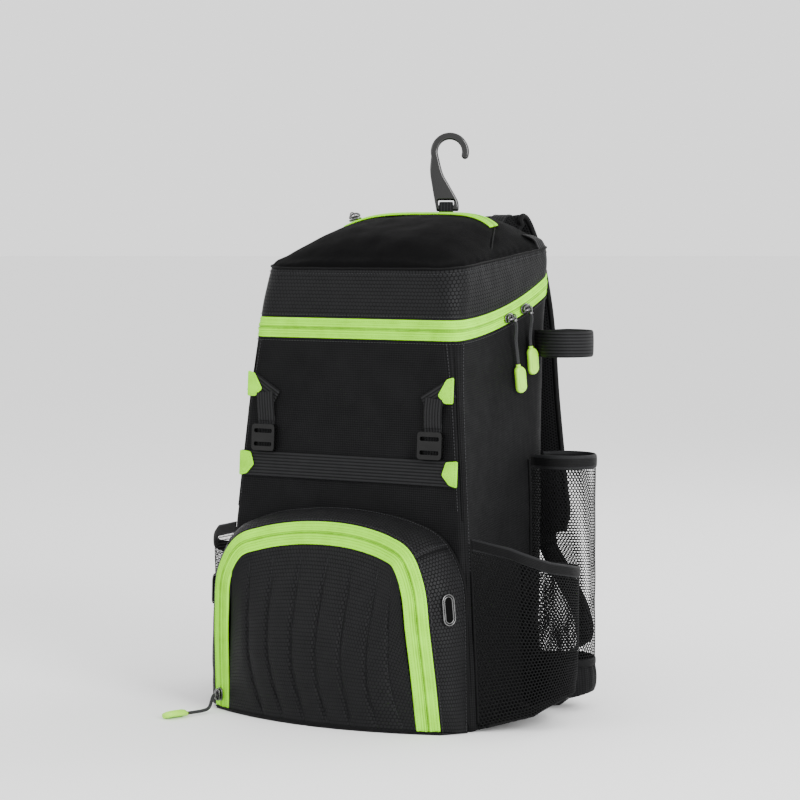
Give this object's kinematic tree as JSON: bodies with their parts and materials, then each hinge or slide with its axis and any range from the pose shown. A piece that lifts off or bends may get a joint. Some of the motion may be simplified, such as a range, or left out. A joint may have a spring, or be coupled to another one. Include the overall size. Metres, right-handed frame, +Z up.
{
  "type": "baseball bat backpack",
  "caption": "Baseball bat backpack with a zipped lid, a crowned front pocket, net bottle pockets, bat sleeves with webbing loops, a strap holder, shoulder straps and a fence hook.",
  "frame": {"origin": "middle of the bounding box in plan, without the pull cords, at the standing surface", "axes": "+X to the right seen from the front, +Y towards the wearer's back, +Z up"},
  "size_m": [0.4036, 0.3524, 0.5659],
  "materials": {
    "body cloth": "woven black polyester with a fine pinhead texture, matt",
    "ripstop": "black honeycomb ripstop with a slight sheen",
    "net": "black open hexagon net",
    "webbing": "black ribbed webbing",
    "bright tape": "bright green woven zipper tape with a coil",
    "bright pull": "pale green moulded ends, satin",
    "cord": "black braided cord",
    "hook plastic": "glossy black moulded plastic",
    "black plastic": "black moulded plastic",
    "padding": "black air mesh over foam",
    "dark metal": "dark plated ring"
  },
  "bodies": {
    "root": {"main_body": "body cloth", "lid_band": "ripstop", "lid_top": "body cloth", "lid_zipper": "bright tape", "top_zipper": "bright tape", "pocket_gusset": "ripstop", "pocket_zipper": "bright tape", "pocket_door": "ripstop", "pocket_floor": "body cloth", "bottle_pocket_right": "net", "bottle_band_right": "webbing", "bat_sleeve_foot_right": "body cloth", "bat_sleeve_right": "net", "bat_sleeve_band_right": "webbing", "bat_loop_right": "webbing", "shoulder_strap_right": "padding", "lower_webbing_right": "webbing", "bottle_pocket_left": "net", "bottle_band_left": "webbing", "bat_sleeve_foot_left": "body cloth", "bat_sleeve_left": "net", "bat_sleeve_band_left": "webbing", "bat_loop_left": "webbing", "shoulder_strap_left": "padding", "lower_webbing_left": "webbing", "cross_strap": "webbing", "tab_upper_right": "bright tape", "tab_lower_right": "bright tape", "upper_strap_right": "webbing", "ladder_lock_right": "black plastic", "drop_strap_right": "webbing", "tab_upper_left": "bright tape", "tab_lower_left": "bright tape", "upper_strap_left": "webbing", "ladder_lock_left": "black plastic", "drop_strap_left": "webbing", "back_pad": "padding", "fence_hook": "hook plastic", "hook_webbing": "webbing", "lid_slider_front": "black plastic", "lid_pull_cord_front": "cord", "lid_pull_end_front": "bright pull", "lid_slider_rear": "black plastic", "lid_pull_cord_rear": "cord", "lid_pull_end_rear": "bright pull", "pocket_slider": "black plastic", "pocket_pull_cord": "cord", "pocket_pull_end": "bright pull", "top_slider": "black plastic", "eyelet_right": "dark metal", "eyelet_left": "dark metal"}
  },
  "joints": []
}
